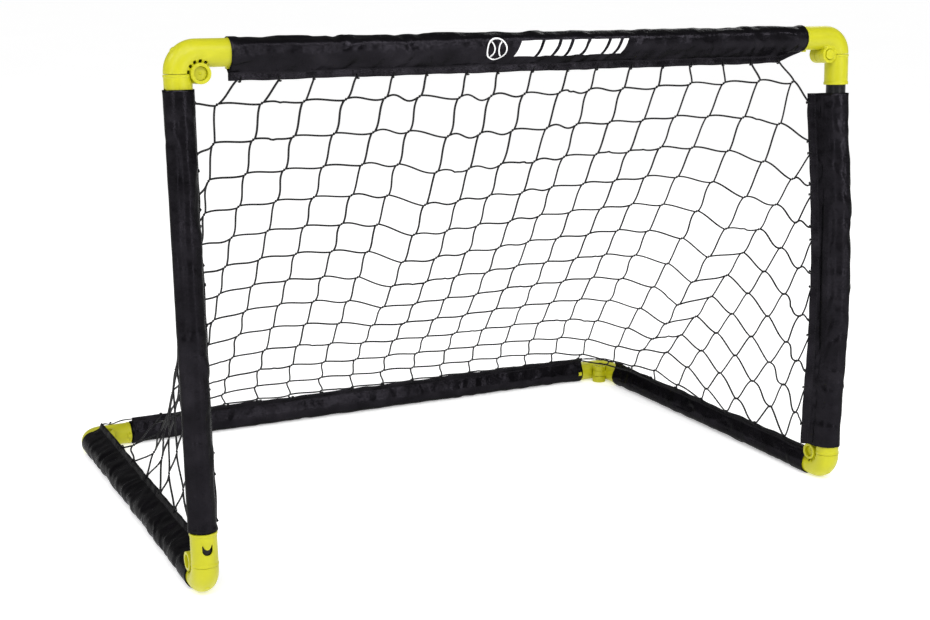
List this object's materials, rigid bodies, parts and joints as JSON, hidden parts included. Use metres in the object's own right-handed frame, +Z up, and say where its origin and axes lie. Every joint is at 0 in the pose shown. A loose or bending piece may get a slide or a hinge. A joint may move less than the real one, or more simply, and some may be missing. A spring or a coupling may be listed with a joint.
{
  "type": "folding ball game goal",
  "caption": "Small folding goal: tubes in fabric sleeves, hinged plastic elbows with lock buttons, and one knotted net. The front frame folds flat onto the ground frame.",
  "frame": {"origin": "centre of the footprint on the floor", "axes": "+X to the right of the goal mouth seen from in front, +Y towards the back of the goal, +Z up; the mouth faces -Y"},
  "size_m": [0.9044, 0.6093, 0.6099],
  "materials": {
    "lime_plastic": "moulded lime yellow plastic with a fine satin grain",
    "black_steel": "gloss black paint on thin steel tube",
    "black_nylon": "black coated nylon with a soft satin sheen",
    "black_twine": "black twisted and knotted twine",
    "zinc_steel": "zinc plated steel"
  },
  "bodies": {
    "base_frame": {"rear_ground_tube": "black_steel", "left_ground_tube": "black_steel", "right_ground_tube": "black_steel", "left_ground_sleeve": "black_nylon", "right_ground_sleeve": "black_nylon", "rear_ground_sleeve": "black_nylon", "goal_net": "black_twine", "front_left_elbow_body": "lime_plastic", "front_left_hinge_pin": "lime_plastic", "front_left_button_spring": "zinc_steel", "front_right_elbow_body": "lime_plastic", "front_right_hinge_pin": "lime_plastic", "front_right_button_spring": "zinc_steel", "rear_left_elbow_body": "lime_plastic", "rear_left_hinge_pin": "lime_plastic", "rear_left_button_spring": "zinc_steel", "rear_left_hinge_collar": "lime_plastic", "rear_right_elbow_body": "lime_plastic", "rear_right_hinge_pin": "lime_plastic", "rear_right_button_spring": "zinc_steel", "rear_right_hinge_collar": "lime_plastic"},
    "front_frame": {"crossbar_tube": "black_steel", "left_post_tube": "black_steel", "right_post_tube": "black_steel", "crossbar_sleeve": "black_nylon", "left_post_sleeve": "black_nylon", "right_post_sleeve": "black_nylon", "top_left_elbow_body": "lime_plastic", "top_left_hinge_pin": "lime_plastic", "top_left_button_spring": "zinc_steel", "top_left_hinge_collar": "lime_plastic", "top_right_elbow_body": "lime_plastic", "top_right_hinge_pin": "lime_plastic", "top_right_button_spring": "zinc_steel", "top_right_hinge_collar": "lime_plastic", "front_left_hinge_collar": "lime_plastic", "front_right_hinge_collar": "lime_plastic"},
    "top_left_button": {"top_left_lock_button": "lime_plastic"},
    "top_right_button": {"top_right_lock_button": "lime_plastic"},
    "front_left_button": {"front_left_lock_button": "lime_plastic"},
    "front_right_button": {"front_right_lock_button": "lime_plastic"},
    "rear_left_button": {"rear_left_lock_button": "lime_plastic"},
    "rear_right_button": {"rear_right_lock_button": "lime_plastic"}
  },
  "joints": [
    {"name": "front_fold", "type": "hinge", "parent": "base_frame", "child": "front_frame", "pos_m": [0, -0.26687, 0.0364], "axis": [-1, 0, 0], "range_deg": [0, 87], "deforming": ["goal_net"]},
    {"name": "top_left_button_press", "type": "slide", "parent": "front_frame", "child": "top_left_button", "axis": [0, -0.9986, 0.0523], "range_m": [0, 0.0022], "stiffness_N_per_m": 500, "springref_m": -0.001, "deforming": ["top_left_button_spring"]},
    {"name": "top_right_button_press", "type": "slide", "parent": "front_frame", "child": "top_right_button", "axis": [0, 0.9986, -0.0523], "range_m": [0, 0.0022], "stiffness_N_per_m": 500, "springref_m": -0.001, "deforming": ["top_right_button_spring"]},
    {"name": "front_left_button_press", "type": "slide", "parent": "base_frame", "child": "front_left_button", "axis": [-1, 0, 0], "range_m": [0, 0.0022], "stiffness_N_per_m": 500, "springref_m": -0.001, "deforming": ["front_left_button_spring"]},
    {"name": "front_right_button_press", "type": "slide", "parent": "base_frame", "child": "front_right_button", "axis": [-1, 0, 0], "range_m": [0, 0.0022], "stiffness_N_per_m": 500, "springref_m": -0.001, "deforming": ["front_right_button_spring"]},
    {"name": "rear_left_button_press", "type": "slide", "parent": "base_frame", "child": "rear_left_button", "axis": [0, 0, 1], "range_m": [0, 0.0022], "stiffness_N_per_m": 500, "springref_m": -0.001, "deforming": ["rear_left_button_spring"]},
    {"name": "rear_right_button_press", "type": "slide", "parent": "base_frame", "child": "rear_right_button", "axis": [0, 0, -1], "range_m": [0, 0.0022], "stiffness_N_per_m": 500, "springref_m": -0.001, "deforming": ["rear_right_button_spring"]}
  ]
}
